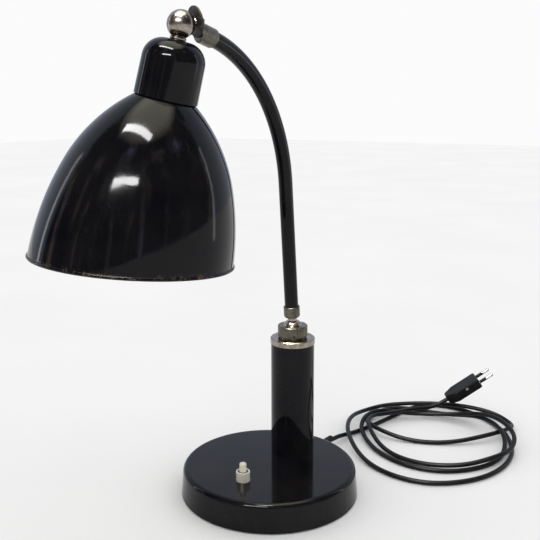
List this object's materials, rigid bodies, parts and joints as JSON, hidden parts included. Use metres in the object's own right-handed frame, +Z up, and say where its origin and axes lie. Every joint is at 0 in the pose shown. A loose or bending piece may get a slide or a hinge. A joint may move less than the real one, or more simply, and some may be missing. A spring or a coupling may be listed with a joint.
{
  "type": "desk lamp",
  "caption": "Desk lamp: round weighted base with push switch, column, ball-jointed curved arm and a bell shade on a slotted ball joint, with mains cord and plug.",
  "frame": {"origin": "centre of the base's underside, on the table", "axes": "+Z up along the base's axis, -Y forward from the column towards the switch and the shade, +X to the lamp's left"},
  "size_m": [0.333, 0.5663, 0.4812],
  "materials": {
    "black_lacquer": "gloss black baked lacquer",
    "nickel": "worn nickel plate, warm and a little dull",
    "dark_nickel": "oxidised nickel plate",
    "steel": "plain zinc-plated steel",
    "cast_iron": "raw casting",
    "brass": "aged brass",
    "felt": "dark green felt",
    "bakelite": "black moulded bakelite",
    "porcelain": "glazed porcelain",
    "cream_plastic": "cream moulded plastic",
    "bulb_glass": "frosted glass",
    "black_rubber": "matt black rubber",
    "cord_black": "satin black PVC",
    "plug_black": "matt black moulding"
  },
  "bodies": {
    "base": {"base_cover": "black_lacquer", "base_ballast": "cast_iron", "base_plate": "steel", "felt_pad": "felt", "plate_screw": "steel", "column_tube": "black_lacquer", "column_cap": "nickel", "rod_washer": "steel", "rod_nut": "steel", "column_rod": "steel", "ball_socket": "brass", "clamp_nut": "dark_nickel", "lock_screw": "steel", "switch_body": "bakelite", "switch_nut": "nickel", "switch_spring": "steel", "cord": "cord_black", "strain_relief": "black_rubber", "terminal_block": "bakelite", "terminal_screw": "brass", "plug_body": "plug_black", "plug_cover": "plug_black", "plug_screw": "steel", "plug_sleeve": "plug_black", "plug_pin": "steel"},
    "seat": {"seat_ring": "brass"},
    "arm": {"foot_ball": "nickel", "lower_ferrule": "nickel", "arm_tube": "black_lacquer", "upper_ferrule": "dark_nickel", "friction_disc": "dark_nickel", "head_stud": "nickel"},
    "cup": {"stud_cup": "brass"},
    "head": {"head_ball": "nickel", "ball_collar": "nickel", "head_nipple": "brass", "neck_nut": "steel", "neck_cap": "black_lacquer", "shade": "black_lacquer", "holder_body": "porcelain", "holder_thread": "brass", "holder_contact": "brass", "shade_ring": "porcelain", "bulb_cap": "nickel", "bulb_contact": "steel", "bulb_glass": "bulb_glass"},
    "button": {"push_button": "cream_plastic"}
  },
  "joints": [
    {"name": "arm_swivel", "type": "hinge", "parent": "base", "child": "seat", "pos_m": [0, 0.046, 0.165], "axis": [0, 0, 1], "range_deg": [-120, 120]},
    {"name": "arm_tilt", "type": "hinge", "parent": "seat", "child": "arm", "pos_m": [0, 0.046, 0.165], "axis": [1, 0, 0], "range_deg": [-20, 20]},
    {"name": "head_turn", "type": "hinge", "parent": "arm", "child": "cup", "pos_m": [-0.00619, -0.11946, 0.46574], "axis": [-0.3932, -0.9042, -0.1668], "range_deg": [-90, 90]},
    {"name": "head_tilt", "type": "hinge", "parent": "cup", "child": "head", "pos_m": [-0.00619, -0.11946, 0.46574], "axis": [-0.9156, 0.3685, 0.1606], "range_deg": [-10, 45]},
    {"name": "switch_press", "type": "slide", "parent": "base", "child": "button", "axis": [0, 0, -1], "range_m": [0, 0.003], "stiffness_N_per_m": 250, "springref_m": -0.002, "deforming": ["switch_spring"]}
  ]
}
